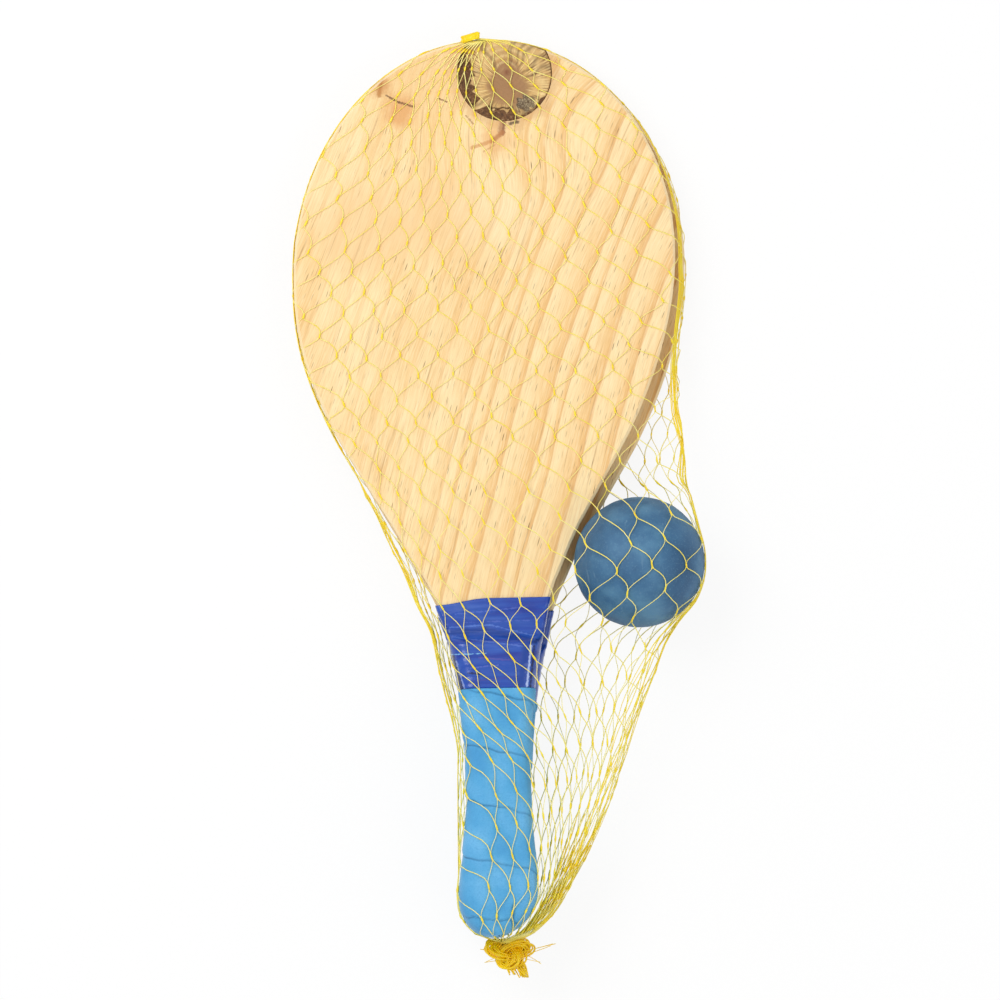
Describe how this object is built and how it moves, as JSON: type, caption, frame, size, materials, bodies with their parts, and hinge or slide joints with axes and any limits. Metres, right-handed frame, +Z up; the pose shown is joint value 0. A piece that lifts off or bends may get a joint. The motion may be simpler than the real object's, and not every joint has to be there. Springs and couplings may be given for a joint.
{
  "type": "beach paddle ball game set",
  "caption": "Beach paddle ball set: two pine paddles with foam-wrapped handles and a rubber ball, packed in a knotted net bag.",
  "frame": {"origin": "on the ground, under the middle of the set's bounding box", "axes": "+Y along the front paddle from its butt to its tip, +X to the right seen from above with the ball on this side, +Z up"},
  "size_m": [0.1834, 0.4132, 0.0625],
  "materials": {
    "pine": "sanded, no varnish",
    "dead_knot": "rough, cracked",
    "vinyl_tape": "gloss vinyl, wrinkled",
    "foam_tape": "matte foam",
    "ball_rubber": "matte, scuffed",
    "net_strand": "translucent extruded strand"
  },
  "bodies": {
    "bag": {"net_bag": "net_strand", "net_seal": "net_strand", "net_knot": "net_strand", "net_tail": "net_strand", "rear_board": "pine", "rear_scale_upper": "pine", "rear_scale_lower": "pine", "rear_throat_tape": "vinyl_tape", "rear_grip": "foam_tape"},
    "front_paddle": {"front_board": "pine", "front_board_knot": "dead_knot", "front_scale_upper": "pine", "front_scale_lower": "pine", "front_throat_tape": "vinyl_tape", "front_grip": "foam_tape"},
    "ball": {"ball": "ball_rubber"}
  },
  "joints": [
    {"name": "front_paddle_swing", "type": "hinge", "parent": "bag", "child": "front_paddle", "pos_m": [-0.00468, -0.0675, 0.03399], "axis": [0, 0.0276, 0.9996], "range_deg": [-1.5, 2], "deforming": ["net_bag"]},
    {"name": "ball_spin", "type": "hinge", "parent": "bag", "child": "ball", "pos_m": [0.05986, -0.02674, 0.0304], "axis": [0, 0, 1], "continuous": true}
  ]
}
